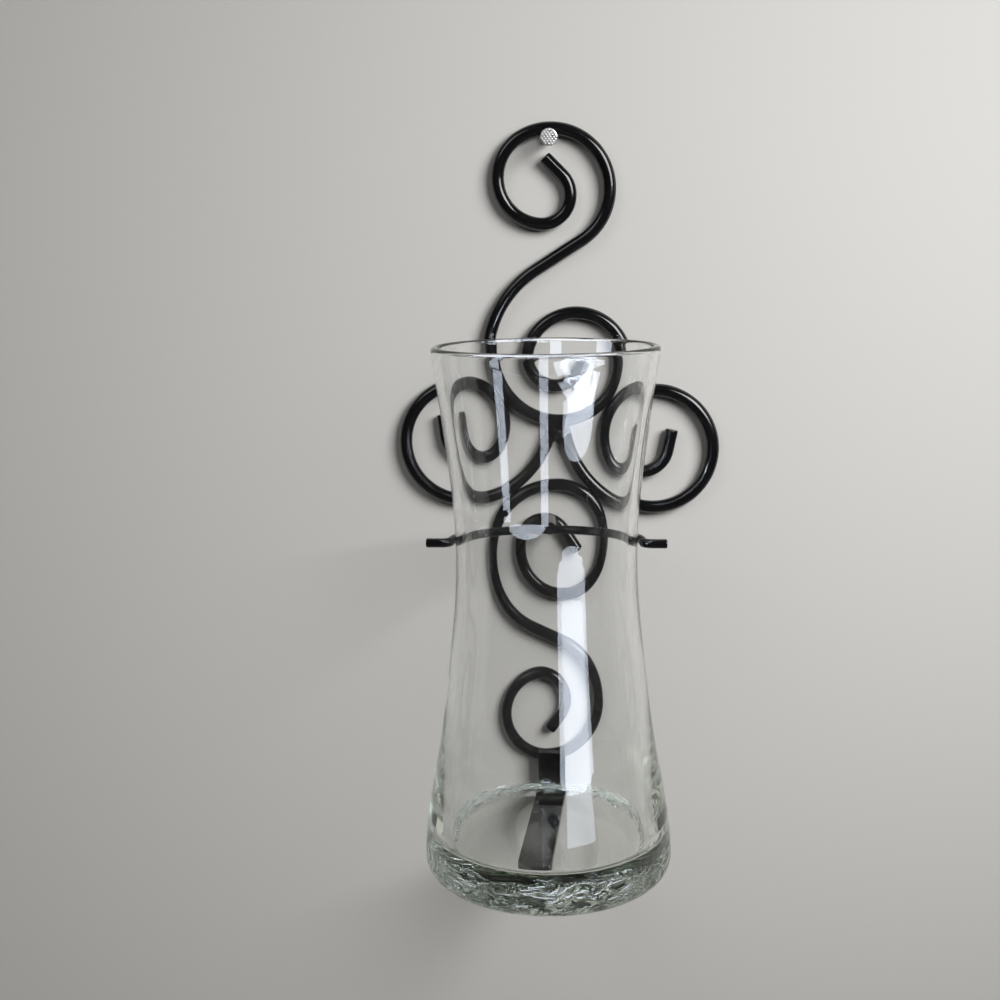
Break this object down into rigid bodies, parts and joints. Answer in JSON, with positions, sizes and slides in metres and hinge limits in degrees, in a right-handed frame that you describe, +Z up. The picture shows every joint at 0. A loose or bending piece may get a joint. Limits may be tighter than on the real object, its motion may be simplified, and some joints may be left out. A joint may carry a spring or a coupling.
{
  "type": "hanging wall vase",
  "caption": "Waisted clear glass vase standing on a strip shelf and held by a wire clip, in a black bracket of bent round bar scrolls that hangs by its top eye on a nail.",
  "frame": {"origin": "on the nail's axis, at the face of the wall", "axes": "+X to the right as seen from the room, +Y into the wall along the nail, +Z up"},
  "size_m": [0.1219, 0.1345, 0.2713],
  "materials": {
    "nail_steel": "bright drawn steel with a hammered head",
    "black_enamel": "gloss black enamel",
    "clear_glass": "clear, fire polished, faintly green where thick"
  },
  "bodies": {
    "nail": {"wall_nail": "nail_steel"},
    "bracket": {"hanger_scroll": "black_enamel", "left_scroll": "black_enamel", "right_scroll": "black_enamel", "lower_scroll": "black_enamel", "clip_stud": "black_enamel", "vase_clip": "black_enamel", "vase_shelf": "black_enamel", "weld_beads": "black_enamel"},
    "vase": {"glass_vase": "clear_glass"}
  },
  "joints": [
    {"name": "bracket_swing", "type": "hinge", "parent": "nail", "child": "bracket", "pos_m": [0, 0, 0], "axis": [0, 1, 0], "range_deg": [-20, 20]},
    {"name": "vase_pull_out", "type": "slide", "parent": "bracket", "child": "vase", "axis": [0, -1, 0], "range_m": [0, 0.1]}
  ]
}
